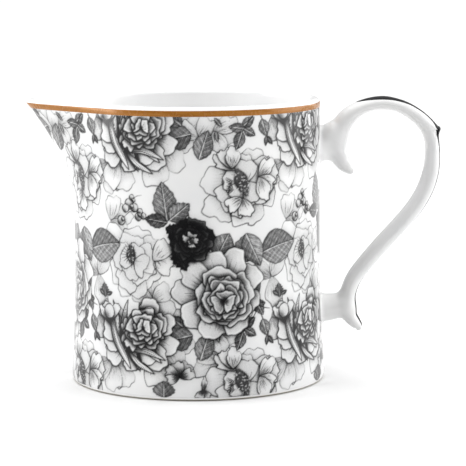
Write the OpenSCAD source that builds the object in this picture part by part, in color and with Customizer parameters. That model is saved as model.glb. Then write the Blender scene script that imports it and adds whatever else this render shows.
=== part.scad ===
// Porcelain cream jug: a slip-cast cylindrical cup with a beak spout, a separately cast
// scroll handle stuck on with slip, printed transfer sheets, a banded rim line and
// hand-painted enamel lines on the handle.
// +Z is up. The origin is on the cup's axis, in the plane of the foot ring. The beak
// points along -X and the handle along +X. Everything is symmetric about y = 0.

/* [Cup] */
// Height from the table to the rim
jug_h = 87; // [84:1:90]
// Outer radius of the wall
wall_r = 38; // [37:0.5:38]
// How far the wall swells towards the foot
foot_flare = 1.3; // [0.5:0.1:1.5]
// Height at which that swelling starts
flare_h = 40; // [30:1:45]
// Thickness of the wall
wall_t = 3; // [2.4:0.1:3.6]
// Thickness of the floor
floor_t = 3.8; // [3:0.1:5]
// Radius of the fillet between floor and wall, inside
floor_fillet = 6; // [4:0.5:9]

/* [Foot ring] */
// Outer radius of the ground contact ring
foot_r = 38.2; // [37.5:0.1:38.4]
// Width of the ground contact ring
foot_w = 2.6; // [2:0.1:4]
// Depth of the recess inside the foot ring
recess_h = 1.8; // [1.2:0.1:2]

/* [Beak spout] */
// How far the beak's tip stands out from the wall
spout_reach = 15.2; // [12:0.2:18]
// Height at which the beak leaves the wall
spout_from = 50; // [44:1:56]
// How the beak opens with height (2 is a parabola)
spout_curve = 2; // [1.6:0.1:2.6]
// Rounding of the beak's ridge, in degrees round the axis
ridge_round = 5; // [3:0.5:8]

/* [Handle] */
// Half the width of the handle, side to side, at mid length
handle_half_w = 4.3; // [3.6:0.1:5]
// Scale of the handle's thickness in its own plane
handle_thick = 1; // [0.9:0.05:1.1]
// Thickness of the slip between the handle's feet and the wall
slip_t = 0.4; // [0.3:0.1:0.6]

/* [Decoration] */
// Thickness of the fired transfer sheets
sheet_t = 0.12; // [0.1:0.01:0.2]
// Lowest line of the transfer sheets
sheet_low = 2.5; // [2.5:0.5:4]
// Distance from the rim down to the top of the banded line
line_down = 1; // [0.8:0.1:1.4]
// Width of the banded line
line_w = 1.7; // [1.4:0.1:2]
// Thickness of the painted lines on the handle
paint_t = 0.12; // [0.1:0.01:0.2]

/* [Hidden] */

floor_z = recess_h + floor_t;
line_top = jug_h - line_down;
line_low = line_top - line_w;
sheet_top = line_low - 0.2;
porcelain = [0.96, 0.96, 0.95];

// ---- the cup's surface -------------------------------------------------------------
// Outer radius of the round wall at height z
function wall(z) = wall_r + foot_flare * pow(min(1, max(0, (flare_h - z) / (flare_h - 6))), 2);
// How far the beak's ridge stands out at height z
function beak(z) = z <= spout_from ? 0
    : spout_reach * pow((z - spout_from) / (jug_h - spout_from), spout_curve);
// Radius at a degrees from the beak's ridge, at height z, set in from the outside by inset.
// Past the tangent lines it is the round wall, and between them two lines that meet in the ridge.
function sec(a, z, inset) =
    let (r = wall(z) - inset, th = acos(wall(z) / (wall(z) + beak(z))) + ridge_round)
    r / cos(max(0, th - sqrt(a * a + ridge_round * ridge_round)));
function spot(a, z, inset) = let (r = sec(abs(a), z, inset)) [-r * cos(a), -r * sin(a), z];

// Columns round the cup, in degrees from the ridge: close together where it is sharp
side = concat([1.5, 3.5, 6, 9, 13, 18, 24, 30, 36, 42, 48], [for (i = [9:28]) i * 6], [172, 176, 178.5]);
round_cols = concat([0], side, [180], [for (i = [len(side) - 1:-1:0]) -side[i]]);
// Rows up the outside: the last two carry the banded line
up = concat([2.5, 4, 6, 9, 12, 16, 22, 30, 40, 50], [for (k = [1:8]) 50 + k * (sheet_top - 50) / 8], [line_low, line_top]);

// A closed mesh from rings of points, each ring with the same count. Ends are closed on a
// centre point when cap is true, and the last ring joins the first when it is false.
module rings(grid, cap, low = [0, 0, 0], high = [0, 0, 0]) {
    m = len(grid);
    n = len(grid[0]);
    pts = concat([for (g = grid) each g], cap ? [low, high] : []);
    last = cap ? m - 2 : m - 1;
    quads = [for (i = [0:last]) for (j = [0:n - 1])
        let (k = (i + 1) % m, l = (j + 1) % n, a = i * n + j, b = i * n + l, c = k * n + l, d = k * n + j)
        each [[a, b, c], [a, c, d]]];
    caps = cap ? concat([for (j = [0:n - 1]) [m * n, (j + 1) % n, j]],
        [for (j = [0:n - 1]) [m * n + 1, (m - 1) * n + j, (m - 1) * n + (j + 1) % n]]) : [];
    polyhedron(points = pts, faces = [for (f = concat(quads, caps)) [f[2], f[1], f[0]]], convexity = 6);
}

// Outline of the wall from the foot up, over the rolled lip and down to the floor: [z, inset]
lip = [[jug_h - 0.55, 0.12], [jug_h - 0.15, 0.55], [jug_h, 1.15], [jug_h, wall_t - 1.15],
       [jug_h - 0.15, wall_t - 0.55], [jug_h - 0.55, wall_t - 0.12], [jug_h - 1.2, wall_t]];
down = [for (z = [80, 74, 68, 62, 56, 50, 40, 30, 20]) [z, wall_t]];
bowl = [for (q = [0:18:90]) [floor_z + floor_fillet * (1 - sin(q)), wall_t + floor_fillet * (1 - cos(q))]];
outline = concat([for (z = up) [z, 0]], lip, down, bowl);

module outside(grow = 0) {
    // the cup as if it were solid, a little past the rim and the foot, for cutting others to
    rows = concat([[-5, 0]], [for (z = up) [z, 0]], [[jug_h + 3, 0]]);
    rings([for (s = rows) [for (a = round_cols) spot(a, min(s[0], jug_h), s[1] - grow) + [0, 0, max(0, s[0] - jug_h)]]],
        true, [0, 0, -5], [0, 0, jug_h + 3]);
}

module body() {
    color(porcelain) union() {
        rings([for (s = outline) [for (a = round_cols) spot(a, s[0], s[1])]], true, [0, 0, up[0]], [0, 0, floor_z]);
        // foot ring with its recess and rounded corner
        rotate_extrude($fn = 120) polygon([
            [0, recess_h], [foot_r - foot_w - 2, recess_h], [foot_r - foot_w - 0.8, recess_h - 0.5],
            [foot_r - foot_w - 0.2, 0.5], [foot_r - foot_w, 0], [foot_r, 0],
            [foot_r + 0.45, 0.3], [foot_r + 0.8, 0.9], [wall_r + foot_flare - 0.12, 1.8],
            [wall_r + foot_flare - 0.1, 2.5], [wall_r, recess_h + 1.8], [0, recess_h + 1.8]]);
    }
}

// ---- handle ------------------------------------------------------------------------
// Stations: [x, z, half thickness in the handle's plane, half width side to side]
w = handle_half_w;
ribbon = [[42, 74.5, 4.4, w + 0.7], [44.3, 77.6, 3.2, w + 0.3], [46.7, 80.8, 2.8, w], [49.8, 83.2, 2.3, w - 0.1],
          [53.8, 84.7, 2.1, w - 0.2], [57.8, 85.1, 2.1, w - 0.2], [61.8, 84.4, 2, w - 0.2], [65.4, 82.8, 2.1, w - 0.1],
          [68.8, 80.2, 2.2, w], [71.4, 77.2, 2.4, w], [72.8, 73.2, 2.4, w], [72.9, 68.7, 2.4, w],
          [72.4, 64.2, 2.5, w], [71, 59.4, 2.6, w], [68.8, 55, 2.6, w], [65.8, 50.8, 2.6, w], [61.9, 46.3, 2.6, w],
          [57.2, 41.2, 2.6, w], [52.8, 36, 2.6, w], [49.6, 31.8, 2.6, w], [47.7, 28.2, 2.7, w + 0.1],
          [46.8, 24.5, 2.8, w + 0.2], [46.8, 21, 2.9, w + 0.2]];
upper_foot = [[36, 71.7, 5, w + 0.9], [39, 72.3, 5, w + 0.8], [42, 74.5, 4.4, w + 0.7]];
lower_foot = [[36, 21.3, 4.6, w + 0.9], [40, 21.4, 4.3, w + 0.7], [44.5, 22, 3.8, w + 0.4]];
upper_curl = [[42.6, 71.2, 3.6, w + 0.5], [44.9, 67.1, 2.3, w - 0.2], [46.3, 65.2, 1.8, w - 0.9],
              [47.4, 64.1, 1.2, w - 1.8], [48.1, 63.6, 0.6, w - 2.8]];
lower_curl = [[46.8, 21, 2.9, w + 0.2], [47.6, 18.4, 2.3, w - 0.3], [49, 16.4, 1.6, w - 1.2],
              [50.2, 15.1, 1, w - 2.2], [50.8, 14.5, 0.5, w - 3]];
spur = [[72.2, 76.6, 2.5, w - 0.2], [74, 77, 1.5, w - 1.2], [75.1, 77.2, 0.7, w - 2.4]];

// One more station between each pair, on a smooth curve through them
function mid(p, i) = let (a = p[max(0, i - 1)], b = p[i], c = p[i + 1], d = p[min(len(p) - 1, i + 2)])
    (b + c) * 9 / 16 - (a + d) / 16;
function smooth(p) = [for (i = [0:2 * len(p) - 2]) i % 2 == 0 ? p[i / 2] : mid(p, (i - 1) / 2)];

module bead(s, grow, fine = 20) {
    translate([s[0], 0, s[1]]) rotate([90, 0, 0])
        scale([s[2] * handle_thick + grow, s[2] * handle_thick + grow, s[3] + grow]) sphere(r = 1, $fn = fine);
}
module chain(p, grow = 0, fine = 20) {
    for (i = [0:len(p) - 2]) hull() { bead(p[i], grow, fine); bead(p[i + 1], grow, fine); }
}
module handle_form(grow = 0) {
    chain(smooth(ribbon), grow);
    chain(smooth(upper_foot), grow);
    chain(smooth(lower_foot), grow);
    chain(smooth(upper_curl), grow, 16);
    chain(smooth(lower_curl), grow, 16);
    chain(smooth(spur), grow, 16);
}
module handle() {
    color(porcelain) difference() {
        handle_form();
        outside(slip_t);
    }
}

// Slip that sticks a foot of the handle to the wall, squeezed out into a small fillet
module slip(z, half) {
    r0 = wall(z);
    difference() {
        hull() {
            translate([r0 - 0.8, 0, z]) scale([1.3, w + 2.4, half + 1.6]) sphere(r = 1, $fn = 30);
            translate([r0 + 0.9, 0, z + 0.2]) scale([0.6, w + 1.5, half + 0.7]) sphere(r = 1, $fn = 30);
        }
        outside();
        difference() { handle_form(); outside(slip_t); }
    }
}
module upper_handle_joint() { color(porcelain) slip(71.9, 5); }
module lower_handle_joint() { color(porcelain) slip(21.3, 4.6); }

// ---- decoration --------------------------------------------------------------------
// A thin skin on the outside of the cup, over rising columns and heights of its own grid
module skin(cols, rows, t) {
    n = len(cols);
    front = [for (z = rows) concat([for (a = cols) spot(a, z, -t)], [for (i = [n - 1:-1:0]) spot(cols[i], z, 0)])];
    m = len(front);
    k = 2 * n;
    pts = [for (r = front) each r];
    walls = [for (i = [0:m - 2]) for (j = [0:k - 1])
        let (l = (j + 1) % k, a = i * k + j, b = i * k + l, c = (i + 1) * k + l, d = (i + 1) * k + j)
        each (j >= n ? [[a, b, d], [b, c, d]] : [[a, b, c], [a, c, d]])];
    ends = [for (j = [0:n - 2]) let (a = j, b = j + 1, c = k - 2 - j, d = k - 1 - j, o = (m - 1) * k)
        each [[a, c, b], [a, d, c], [o + a, o + b, o + c], [o + a, o + c, o + d]]];
    polyhedron(points = pts, faces = [for (f = concat(walls, ends)) [f[2], f[1], f[0]]], convexity = 8);
}
sheet_rows = concat([for (z = up) if (z >= sheet_low && z <= sheet_top) z]);
module sheet(s) {
    difference() {
        skin(s > 0 ? side : [for (i = [len(side) - 1:-1:0]) -side[i]], sheet_rows, sheet_t);
        // cut out round the handle's feet
        for (z = [71.7, 21.3]) translate([20, 0, z]) rotate([0, 90, 0]) cylinder(r = 8.6, h = 30, $fn = 64);
    }
}
module transfer_sheet_near() { color([0.62, 0.62, 0.62]) sheet(1); }
module transfer_sheet_far() { color([0.62, 0.62, 0.62]) sheet(-1); }

module rim_line() {
    t = 0.1;
    color([0.66, 0.42, 0.16]) rings([for (s = [[line_low, 0], [line_low, -t], [line_top, -t], [line_top, 0]])
        [for (a = round_cols) spot(a, s[0], s[1])]], false);
}

// Painted lines: the part of the handle's surface that lies near a path along its outer edge
crest = [[49.6, 85.3, 0.5, 1], [52, 86.4, 0.9, 2.2], [55, 87.1, 1.3, 3], [58, 87.4, 1.5, 3.3], [61.5, 86.7, 1.4, 3.2],
         [65, 85.2, 1.2, 2.8], [68.4, 83.1, 1, 2.3], [71.2, 80.9, 0.9, 2], [73.4, 79.2, 0.9, 1.8]];
back = [[75.4, 77.6, 1.3, 1.6], [75.6, 75, 0.7, 1.4], [75.6, 71, 0.6, 1.3], [75.6, 67, 0.5, 1.2], [75.1, 63, 0.5, 1],
        [74, 59, 0.4, 0.9], [71.8, 54.6, 0.4, 0.7]];
scroll = [[51, 29.2, 0.4, 0.8], [49.9, 25.4, 0.5, 1], [49.8, 21.5, 0.6, 1.2], [50.2, 18.4, 0.6, 1.2], [51, 15.6, 0.6, 1]];
module painted(path) {
    color([0.2, 0.2, 0.2]) difference() {
        intersection() {
            handle_form(paint_t);
            chain(smooth(path), 0, 16);
        }
        handle_form();
    }
}
module crest_stroke() { painted(crest); }
module spur_line() { painted(back); }
module scroll_line() { painted(scroll); }

body();
handle();
upper_handle_joint();
lower_handle_joint();
transfer_sheet_near();
transfer_sheet_far();
rim_line();
crest_stroke();
spur_line();
scroll_line();
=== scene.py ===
"""Looks for the porcelain cream jug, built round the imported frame. Metres outside, millimetres inside."""
import math

import bpy
import numpy as np
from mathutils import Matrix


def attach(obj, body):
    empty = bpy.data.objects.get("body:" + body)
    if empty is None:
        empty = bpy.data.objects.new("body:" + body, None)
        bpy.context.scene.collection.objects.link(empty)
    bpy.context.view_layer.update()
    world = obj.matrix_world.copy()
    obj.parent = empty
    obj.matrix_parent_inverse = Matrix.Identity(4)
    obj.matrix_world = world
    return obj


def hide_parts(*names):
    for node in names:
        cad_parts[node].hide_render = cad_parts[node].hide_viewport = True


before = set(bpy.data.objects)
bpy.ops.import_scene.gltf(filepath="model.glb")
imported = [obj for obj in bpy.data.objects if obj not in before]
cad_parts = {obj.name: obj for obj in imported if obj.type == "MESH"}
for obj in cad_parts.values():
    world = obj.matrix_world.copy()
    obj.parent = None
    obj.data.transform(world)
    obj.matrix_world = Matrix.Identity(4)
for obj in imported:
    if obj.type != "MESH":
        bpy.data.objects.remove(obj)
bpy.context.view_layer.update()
MM = 0.001

# ---- a small engraver: it draws roses, leaves and buds of its own on a flat sheet -------
REPEAT = 57.3          # mm round the cup after which the print repeats
TALL = 87.0            # mm
STEP = 0.1             # mm between samples
NS, NZ = int(round(REPEAT / STEP)), int(round(TALL / STEP))
tone = np.ones((NZ, NS), np.float32)
drawn = np.zeros((NZ, NS), np.float32)


def ease(x, lo=0.0, hi=1.0):
    t = np.clip((x - lo) / (hi - lo), 0.0, 1.0)
    return t * t * (3 - 2 * t)


def window(poly, pad):
    lo, hi = poly.min(0) - pad, poly.max(0) + pad
    c = np.arange(int(math.floor(lo[0] / STEP)), int(math.ceil(hi[0] / STEP)))
    r = np.arange(max(0, int(math.floor(lo[1] / STEP))), min(NZ, int(math.ceil(hi[1] / STEP))))
    if len(r) == 0 or len(c) == 0 or len(c) > NS:
        return None
    x, z = np.meshgrid((c + 0.5) * STEP, (r + 0.5) * STEP)
    return np.ix_(r, c % NS), x, z


def inside_distance(x, z, poly):
    """Distance to the outline in mm, positive inside."""
    best = np.full(x.shape, 1e9)
    odd = np.zeros(x.shape, bool)
    a = poly
    b = np.roll(poly, -1, 0)
    for (ax, az), (bx, bz) in zip(a, b):
        dx, dz = bx - ax, bz - az
        l2 = dx * dx + dz * dz
        if l2 < 1e-12:
            continue
        t = np.clip(((x - ax) * dx + (z - az) * dz) / l2, 0, 1)
        best = np.minimum(best, (x - ax - t * dx) ** 2 + (z - az - t * dz) ** 2)
        if az != bz:
            cross = ((az > z) != (bz > z)) & (x < (bx - ax) * (z - az) / (bz - az) + ax)
            odd ^= cross
    d = np.sqrt(best)
    return np.where(odd, d, -d)


def rounded(pts, n=6):
    """A smooth closed outline through the points."""
    p = np.asarray(pts, float)
    out = []
    for i in range(len(p)):
        a, b, c, d = p[i - 1], p[i], p[(i + 1) % len(p)], p[(i + 2) % len(p)]
        for k in range(n):
            t = k / n
            out.append(0.5 * (2 * b + (c - a) * t + (2 * a - 5 * b + 4 * c - d) * t * t + (3 * b - a - 3 * c + d) * t ** 3))
    return np.array(out)


def placed(pts, x, z, ang, scale=1.0):
    c, s = math.cos(ang), math.sin(ang)
    p = np.asarray(pts, float) * scale
    return np.stack([x + c * p[:, 0] - s * p[:, 1], z + s * p[:, 0] + c * p[:, 1]], -1)


def petal_outline(length, width, ruffle, rng, open_=0.6, n=54):
    """A petal from its base at 0 to its rim at length, along x."""
    t = np.linspace(0, 2 * np.pi, n, endpoint=False)
    u = 0.5 - 0.5 * np.cos(t)
    y = width * np.sin(t) * (0.3 + 0.7 * u ** open_)
    x = length * u
    ph = rng.rand(4) * 6.28
    w = ruffle * ease(u, 0.40, 0.80) * (np.sin(3 * t + ph[0]) + 0.55 * np.sin(5 * t + ph[1]) + 0.45 * np.sin(8 * t + ph[2]) + 0.22 * np.sin(13 * t + ph[3]))
    return np.stack([x + w, y + 0.6 * w * np.sign(y)], -1)


def fill(poly, light=0.97, dark=0.55, base=None, reach=6.0, near=0.0, outline=0.75, line=0.16, shadow=0.3, spread=0.9,
         hatch=0.3, lines=40, rim=0.15, rim_w=0.7, lip=0.0, lip_w=0.5, seed=0, fade=0.0, ground=0.2, side=0.0, axis=None):
    """One petal: dark and hatched at its base, light towards its rim, outlined, with a shadow on what lies under it."""
    w = window(poly, 3.0)
    if w is None:
        return
    idx, x, z = w
    d = inside_distance(x, z, poly)
    t = tone[idx]
    under = ground + (1 - ground) * drawn[idx]
    if shadow:
        t = np.where(d < 0, t * (1 - shadow * under * np.exp(np.minimum(d, 0) / spread)), t)
    bx, bz = poly.mean(0) if base is None else base
    r = np.hypot(x - bx, z - bz)
    g = ease(r, near, near + reach)
    a = np.arctan2(z - bz, x - bx)
    body = dark + (light - dark) * g
    if side and axis is not None:
        across = -(x - bx) * axis[1] + (z - bz) * axis[0]
        body = body - side * ease(across, -1.5, 2.5) * (0.4 + 0.6 * np.sin(seed * 3.3) ** 2)
    wob = 0.35 * np.sin(a * 3.1 + seed) + 0.2 * np.sin(r * 1.7 + seed * 2.3)
    hl = 0.5 + 0.5 * np.sin(a * lines + wob * 6 + seed)
    body = body - hatch * (hl ** 2) * (1 - g) * (0.35 + 0.65 * (light > 0.4))
    body = body - rim * np.exp(-np.maximum(d, 0) / rim_w)
    if lip:
        body = body + lip * np.exp(-((d - lip_w) / (0.5 * lip_w)) ** 2)
    cover = ease(d, -0.06, 0.06)
    t = t * (1 - cover) + np.clip(body, 0.02, 1.0) * cover
    away = np.arctan2(z - poly[:, 1].mean(), x - poly[:, 0].mean())
    thick = line * (0.62 + 0.55 * (0.5 - 0.5 * np.sin(away + 0.7)) + 0.25 * np.sin(away * 4 + seed * 5))
    weight = outline
    if fade:
        weight = outline * (1 - fade * (0.5 + 0.5 * np.sin(a * 2.3 + seed * 1.7 + 1.3 * np.sin(a * 5 + seed))))
    t = t * (1 - weight * np.exp(-((d + 0.02) / thick) ** 2))
    tone[idx] = t
    drawn[idx] = np.maximum(drawn[idx], cover)


def petal(bx, bz, ang, length, width, rng, ruffle=0.4, creases=5, crease=0.5, crease_w=0.10, open_=0.6, squash=1.0, **style):
    """A petal with tapering creases drawn up it from its base. ang in radians."""
    o = placed(petal_outline(length, width, ruffle, rng, open_), 0, 0, ang)
    o[:, 1] *= squash
    o += [bx, bz]
    ca, sa = math.cos(ang), math.sin(ang)
    style.setdefault("reach", length * 0.8)
    fill(o, base=(bx, bz), seed=rng.rand() * 9, axis=(ca, sa), **style)
    for i in range(creases):
        v = (i + 0.5) / creases * 2 - 1 + 0.25 * rng.randn() / creases
        u0, u1 = 0.06 + 0.26 * rng.rand() + 0.1 * abs(v), 0.40 + 0.42 * rng.rand() - 0.12 * abs(v)
        if u1 < u0 + 0.15:
            continue
        bend = 0.12 * rng.randn()
        p = []
        for k in range(4):
            u = u0 + (u1 - u0) * k / 3
            half = width * math.sqrt(max(0.0, 1 - (2 * u - 1) ** 2)) * (0.3 + 0.7 * u ** open_)
            p.append([length * u, 0.74 * half * v + bend * width * math.sin(math.pi * k / 3) * 0.5])
        q = placed(p, 0, 0, ang)
        q[:, 1] *= squash
        stroke(q + [bx, bz], crease_w * (0.7 + 0.6 * rng.rand()), crease * (0.55 + 0.45 * rng.rand()), n=3)


def stroke(pts, width, dark=0.85, taper=True, light=False, n=8):
    """A drawn line through the points, thin at both ends when it tapers. light draws in white."""
    p = np.asarray(pts, float)
    q = []
    for i in range(len(p) - 1):
        a, b, c, d = p[max(0, i - 1)], p[i], p[i + 1], p[min(len(p) - 1, i + 2)]
        for k in range(n):
            t = k / n
            q.append(0.5 * (2 * b + (c - a) * t + (2 * a - 5 * b + 4 * c - d) * t * t + (3 * b - a - 3 * c + d) * t ** 3))
    q.append(p[-1])
    q = np.array(q)
    w = window(q, width * 3 + 0.3)
    if w is None:
        return
    idx, x, z = w
    t = tone[idx]
    m = np.zeros(x.shape)
    for i in range(len(q) - 1):
        a, b = q[i], q[i + 1]
        e = b - a
        l2 = float(e @ e)
        if l2 < 1e-12:
            continue
        f = np.clip(((x - a[0]) * e[0] + (z - a[1]) * e[1]) / l2, 0, 1)
        d = np.hypot(x - a[0] - f * e[0], z - a[1] - f * e[1])
        u = (i + f) / (len(q) - 1)
        ww = width * (np.sin(np.pi * np.clip(u, 0.02, 0.98)) ** 0.6 if taper else 1.0)
        m = np.maximum(m, np.exp(-(d / np.maximum(ww, 0.02)) ** 2))
    if light:
        t = t + (0.95 - t) * dark * m
    else:
        t = t * (1 - dark * m)
    tone[idx] = t


def leaf(x0, z0, ang, length, width, shade=0.38, serrate=0.25, veins=1.45, vein_light=0.30, seed=0, bend=0.0, half=0.06, shadow=0.25):
    """A leaf from its stalk at x0, z0, with midrib, side veins and toothed edge."""
    n = 64
    t = np.linspace(0, 2 * np.pi, n, endpoint=False)
    u = 0.5 - 0.5 * np.cos(t)
    y = width * np.sign(np.sin(t)) * (np.sin(np.pi * u ** 0.85) ** 0.85)
    xx = length * u
    tooth = serrate * (np.abs(((np.arange(n) % 4) / 2.0) - 1) - 0.5) * ease(np.abs(y), 0.1 * width, 0.6 * width)
    y = y + (tooth + 0.12 * serrate * np.sin(t * 9 + seed)) * np.sign(y)
    y = y + bend * (u * (1 - u)) * 4
    poly = placed(np.stack([xx, y], -1), x0, z0, math.radians(ang))
    w = window(poly, 2.0)
    if w is None:
        return
    idx, x, z = w
    d = inside_distance(x, z, poly)
    c, s = math.cos(math.radians(ang)), math.sin(math.radians(ang))
    lx = (x - x0) * c + (z - z0) * s
    ly = -(x - x0) * s + (z - z0) * c
    uu = np.clip(lx / length, 0, 1)
    ly = ly - bend * (uu * (1 - uu)) * 4
    tn = tone[idx]
    tn = np.where(d < 0, tn * (1 - shadow * (0.25 + 0.75 * drawn[idx]) * np.exp(np.minimum(d, 0) / 0.5)), tn)
    ph = (lx - np.abs(ly) * 0.70 - 0.05 * ly * ly) / veins + 0.12 * np.sin(seed + lx)
    f = ph - np.floor(ph)
    vein = np.exp(-((f - 0.5) / 0.085) ** 2)
    edge_dark = np.exp(-((f - 0.68) / 0.13) ** 2)
    mottle = 0.06 * np.sin(lx * 1.9 + seed * 2.1) * np.cos(ly * 2.3 + seed) + 0.045 * np.sin((lx * 0.9 - ly * 1.7) * 2.6 + seed)
    body = shade + half * np.tanh(ly * 3) + mottle + 0.05 * ease(np.abs(ly), 0, width)
    body = body + 0.035 * np.sin(2 * np.pi * (lx - np.abs(ly) * 0.70) / 0.46 + seed)
    body = body + vein_light * 0.55 * vein * ease(np.abs(ly), 0.0, 0.4) * (1 - 0.6 * ease(np.abs(ly), 0.5 * width, width))
    body = body - 0.10 * edge_dark * ease(np.abs(ly), 0.0, 0.4)
    body = body - 0.14 * np.exp(-np.maximum(d, 0) / 0.45)
    rib = np.exp(-(ly / (0.13 * (1.25 - uu))) ** 2)
    body = body + (vein_light + 0.12) * rib - 0.20 * np.exp(-((ly - 0.30) / 0.16) ** 2)
    cover = ease(d, -0.06, 0.06)
    tn = tn * (1 - cover) + np.clip(body, 0.05, 1.0) * cover
    tn = tn * (1 - 0.45 * np.exp(-(d / 0.12) ** 2))
    tone[idx] = tn
    drawn[idx] = np.maximum(drawn[idx], cover)


def blade(x0, z0, ang, length, width, bend=0.0, seed=0, light=1.0, dark=0.12, crest_at=0.1, shadow=0.38, hatch=0.2):
    """A long folded petal: bright along its fold, hatched into black at both edges."""
    n = 56
    t = np.linspace(0, 2 * np.pi, n, endpoint=False)
    u = 0.5 - 0.5 * np.cos(t)
    prof = np.sin(np.pi * np.clip(u, 0, 1) ** 0.75) ** 0.8
    y = width * np.sign(np.sin(t)) * prof + bend * (u * (1 - u)) * 4 + 0.12 * width * np.sin(u * 9 + seed)
    poly = placed(np.stack([length * u, y], -1), x0, z0, math.radians(ang))
    w = window(poly, 2.5)
    if w is None:
        return
    idx, x, z = w
    d = inside_distance(x, z, poly)
    c, s = math.cos(math.radians(ang)), math.sin(math.radians(ang))
    lx = (x - x0) * c + (z - z0) * s
    ly = -(x - x0) * s + (z - z0) * c
    uu = np.clip(lx / length, 0, 1)
    ly = ly - bend * (uu * (1 - uu)) * 4 - 0.12 * width * np.sin(uu * 9 + seed)
    half = width * np.maximum(np.sin(np.pi * uu ** 0.75), 0.08) ** 0.8
    v = np.clip(ly / half, -1.4, 1.4)
    tn = tone[idx]
    tn = np.where(d < 0, tn * (1 - shadow * (0.2 + 0.8 * drawn[idx]) * np.exp(np.minimum(d, 0) / 0.45)), tn)
    c0 = crest_at + 0.2 * np.sin(uu * 3 + seed)
    body = light - (light - dark) * ease(np.abs(v - c0), 0.62, 1.25) ** 1.3
    body = body * (0.5 + 0.5 * ease(uu, 0.0, 0.30))
    for k, (at, wide) in enumerate(((-0.62, 0.085), (-0.18, 0.05), (0.30, 0.06), (0.70, 0.08))):
        lane = v - at - 0.14 * np.sin(uu * 4.5 + seed * 1.3 + k * 2.1)
        run = ease(uu, 0.02, 0.20) * (1 - ease(uu, 0.55 + 0.1 * (k % 3), 0.97))
        body = body * (1 - 0.9 * np.exp(-(lane / wide) ** 2) * run)
    body = body - hatch * (0.5 + 0.5 * np.sin(v * 24 + seed * 2 + uu * 3)) * (1 - ease(uu, 0.05, 0.45))
    cover = ease(d, -0.06, 0.06)
    tn = tn * (1 - cover) + np.clip(body, 0.03, 1.0) * cover
    tn = tn * (1 - 0.9 * np.exp(-(d / 0.15) ** 2))
    tone[idx] = tn
    drawn[idx] = np.maximum(drawn[idx], cover)


def rose(cx, cz, size, seed, rings=5, light=0.97, dark=0.4, hatch=0.35, outline=0.8, line=0.18, ruffle=0.5, shadow=0.4,
         turn=0.0, squash=1.0, heart=(0.0, 0.0), first=6, spread=0.9, fade=0.3, rim=0.15, lip=0.1, contrast=1.0, creases=5, crease=0.5, side=0.1, ground=0.2, reach_k=0.5):
    """A rose or peony seen from the front, drawn from its outer petals in to its heart."""
    rng = np.random.RandomState(seed)
    for k in range(rings):
        f = 1 - k / rings
        n = max(3, first - k)
        ro = size * (0.26 + 0.74 * f)
        hx, hz = cx + heart[0] * (1 - f), cz + heart[1] * (1 - f)
        start = turn + k * 1.1 + rng.rand() * 0.5
        for j in rng.permutation(n):
            a = start + 2 * math.pi * j / n + rng.randn() * 0.08
            le = ro * (0.95 + 0.14 * rng.randn())
            wi = ro * math.sin(math.pi / n) * (1.12 + 0.12 * rng.rand())
            inner = max(0.0, 0.40 * le)
            dk = dark + (1 - contrast) * (light - dark)
            petal(hx, hz, a, le, wi, rng, ruffle=ruffle * (0.35 + 0.65 * f), squash=squash, creases=creases if k < rings - 1 else 2,
                  crease=crease, crease_w=0.085, light=light - 0.05 * k * contrast, dark=dk, reach=le * reach_k, near=inner * (0.9 if k < rings - 1 else 0.2),
                  outline=outline * (0.75 + 0.25 * rng.rand()), line=line, shadow=shadow * (0.7 + 0.3 * k / rings), spread=spread * (0.6 + 0.4 * f),
                  hatch=hatch, lines=int(46 + 10 * f), rim=rim, rim_w=0.35, lip=lip, lip_w=0.42, fade=fade, side=side, ground=ground)


def petals(cx, cz, specs, seed=0, **style):
    """Single petals given one by one round a point: (angle in degrees, distance of base, length, half width)."""
    rng = np.random.RandomState(seed)
    for a, off, le, wi in specs:
        an = math.radians(a)
        petal(cx + off * math.cos(an), cz + off * math.sin(an), an, le, wi, rng, **style)


def seeds(cx, cz, rx, rz, seed, ang=0.0):
    """The dark stippled heart of an open flower."""
    rng = np.random.RandomState(seed)
    n = 26
    t = np.linspace(0, 2 * np.pi, n, endpoint=False)
    o = np.stack([rx * np.cos(t) * (1 + 0.12 * np.sin(3 * t + seed)), rz * np.sin(t) * (1 + 0.1 * np.cos(4 * t))], -1)
    o = placed(o, cx, cz, ang)
    fill(o, light=0.42, dark=0.22, reach=max(rx, rz), hatch=0, outline=0.3, line=0.3, shadow=0.3, spread=0.5)
    for _ in range(int(rx * rz * 9)):
        r = math.sqrt(rng.rand()) * 0.97
        a = rng.rand() * 6.283
        p = placed([[rx * r * math.cos(a), rz * r * math.sin(a)]], cx, cz, ang)[0]
        b = rng.rand() * 6.283
        stroke([p, p + 0.35 * np.array([math.cos(b), math.sin(b)])], 0.10, 0.75, taper=False, light=rng.rand() < 0.5, n=1)


def fringe(cx, cz, r0, r1, a0, a1, n, seed, width=0.09, dark=0.8):
    """Short stamen lines standing round a heart."""
    rng = np.random.RandomState(seed)
    for i in range(n):
        a = math.radians(a0 + (a1 - a0) * (i + 0.5) / n)
        rr = r1 * (0.85 + 0.3 * rng.rand())
        c, s = math.cos(a), math.sin(a)
        stroke([[cx + r0 * c, cz + r0 * s], [cx + (r0 + rr) / 2 * c + 0.1 * s, cz + (r0 + rr) / 2 * s], [cx + rr * c, cz + rr * s]], width, dark, n=3)


def bud(x, z, r, seed=0, shade=0.6):
    t = np.linspace(0, 2 * np.pi, 16, endpoint=False)
    o = np.stack([x + r * np.cos(t), z + r * 1.1 * np.sin(t)], -1)
    fill(o, light=0.95, dark=shade, base=(x - r * 0.6, z - r * 0.8), reach=r * 1.6, hatch=0.2, lines=20, outline=0.85, line=0.16, shadow=0.35, spread=0.4, seed=seed)


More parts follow.
